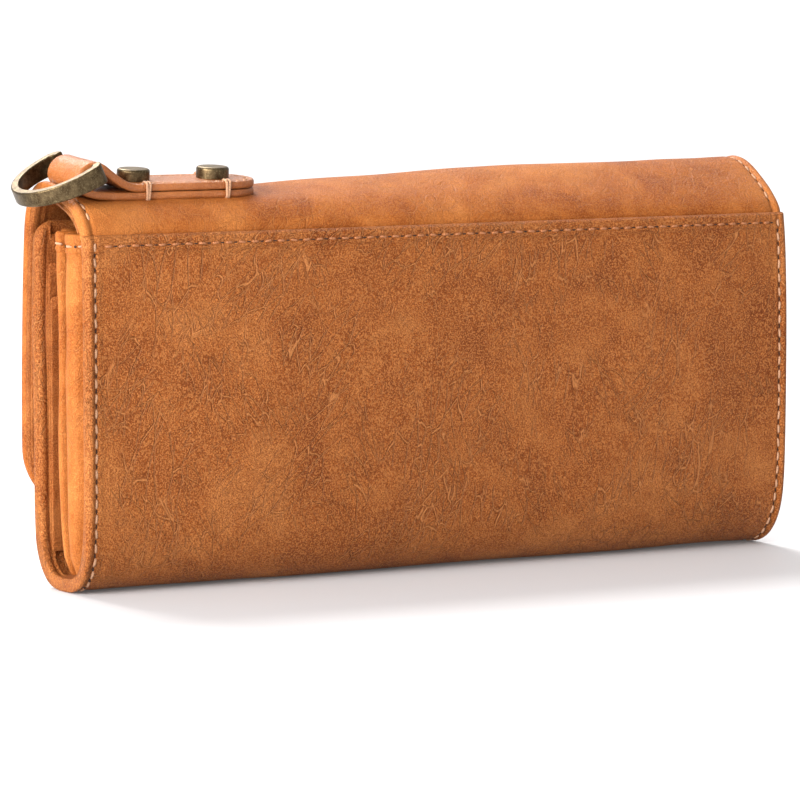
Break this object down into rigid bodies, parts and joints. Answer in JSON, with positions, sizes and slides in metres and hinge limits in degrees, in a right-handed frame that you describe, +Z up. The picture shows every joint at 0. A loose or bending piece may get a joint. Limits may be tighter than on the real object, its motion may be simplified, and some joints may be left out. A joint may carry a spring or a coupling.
{
  "type": "long wallet",
  "caption": "Long flap wallet of brown leather with a slip pocket on the back, end gussets, a zipped coin pocket inside and a metal D-ring on a riveted strap.",
  "frame": {"origin": "centre of the flat underside of the folded bottom edge", "axes": "+Z up, +X along the length towards the end with the D-ring, +Y towards the back with the slip pocket; the flap closes over -Y"},
  "size_m": [0.2046, 0.0371, 0.1025],
  "materials": {
    "leather": "satin pebbled grain with lighter creases",
    "strap_leather": "smooth, burnished edges",
    "lining": "matt smooth",
    "fabric_lining": "plain weave",
    "zip_tape": "woven tape",
    "thread": "waxed thread",
    "antique_brass": "antique brass, worn brighter on the edges"
  },
  "bodies": {
    "wallet_body": {"outer_shell": "leather", "shell_lining": "lining", "back_wall": "leather", "front_card_slot_1": "lining", "front_card_slot_2": "lining", "front_card_slot_3": "lining", "rear_card_slot_1": "lining", "rear_card_slot_2": "lining", "rear_card_slot_3": "lining", "gusset_ring_end_front": "leather", "gusset_ring_end_rear": "leather", "gusset_far_end_front": "leather", "gusset_far_end_rear": "leather", "coin_pocket_shell": "leather", "coin_pocket_lining": "fabric_lining", "coin_pocket_end_ring_side": "leather", "coin_pocket_end_far_side": "leather", "zip_tape_front": "zip_tape", "zip_tape_rear": "zip_tape", "zip_teeth": "antique_brass", "zip_stops": "antique_brass", "snap_socket": "antique_brass", "snap_socket_washer": "antique_brass"},
    "flap": {"flap_outer": "leather", "flap_lining": "lining", "flap_facing": "leather", "snap_stud": "antique_brass", "snap_stud_washer": "antique_brass", "ring_strap": "strap_leather", "strap_rivets": "antique_brass", "strap_ties": "thread"},
    "d_ring": {"d_ring": "antique_brass"},
    "zip_slider": {"zip_slider": "antique_brass"},
    "zip_pull": {"zip_pull": "antique_brass"}
  },
  "joints": [
    {"name": "flap_fold", "type": "hinge", "parent": "wallet_body", "child": "flap", "pos_m": [0, 0.0145, 0.0846], "axis": [-1, 0, 0], "range_deg": [0, 175]},
    {"name": "ring_swing", "type": "hinge", "parent": "flap", "child": "d_ring", "pos_m": [0.09064, -0.0025, 0.09837], "axis": [0, -0.9969, 0.0785], "range_deg": [0, 150]},
    {"name": "zip_run", "type": "slide", "parent": "wallet_body", "child": "zip_slider", "axis": [1, 0, 0], "range_m": [-0.144, 0]},
    {"name": "pull_swing", "type": "hinge", "parent": "zip_slider", "child": "zip_pull", "pos_m": [0.072, -0.0008, 0.0735], "axis": [0, 1, 0], "range_deg": [0, 180]}
  ]
}
